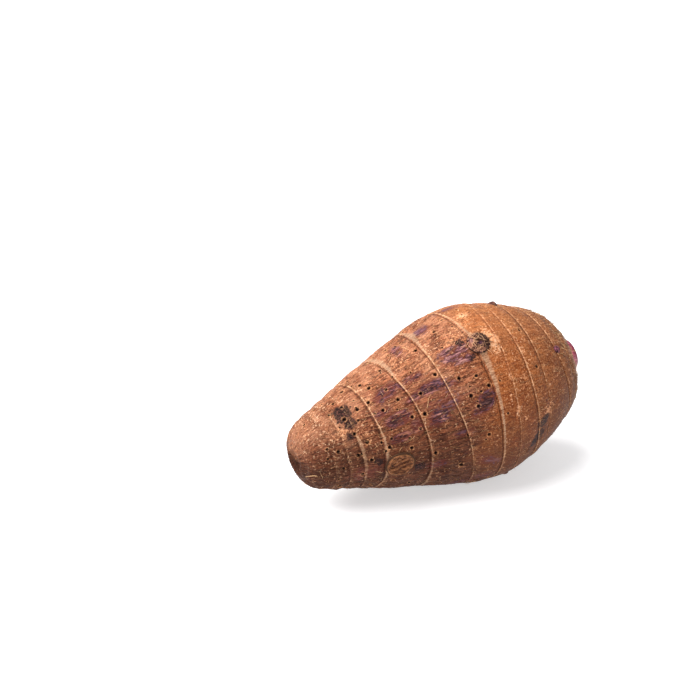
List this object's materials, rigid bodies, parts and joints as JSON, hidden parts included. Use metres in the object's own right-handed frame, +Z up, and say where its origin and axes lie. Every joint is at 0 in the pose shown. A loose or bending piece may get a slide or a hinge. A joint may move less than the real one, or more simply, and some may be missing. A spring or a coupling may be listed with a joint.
{
  "type": "taro corm",
  "caption": "Taro: a tapering, ringed brown corm with side buds, root-scar pits and the pink cut base of its leaf stalks, lying on its side on a small flat spot.",
  "frame": {"origin": "middle of the flat spot under the belly that the corm rests on", "axes": "+X along the corm from its tail to its head, where the leaf stalks stand, +Z up, -Y the side that the picture shows"},
  "size_m": [0.1624, 0.0874, 0.0871],
  "materials": {
    "skin": "dry fibrous brown skin",
    "stalk": "smooth moist pink stalk",
    "stalk_core": "cut yellow-orange stalk core"
  },
  "bodies": {
    "root": {"corm": "skin", "outer_leaf_stalk": "stalk", "inner_leaf_stalk": "stalk_core"}
  },
  "joints": []
}
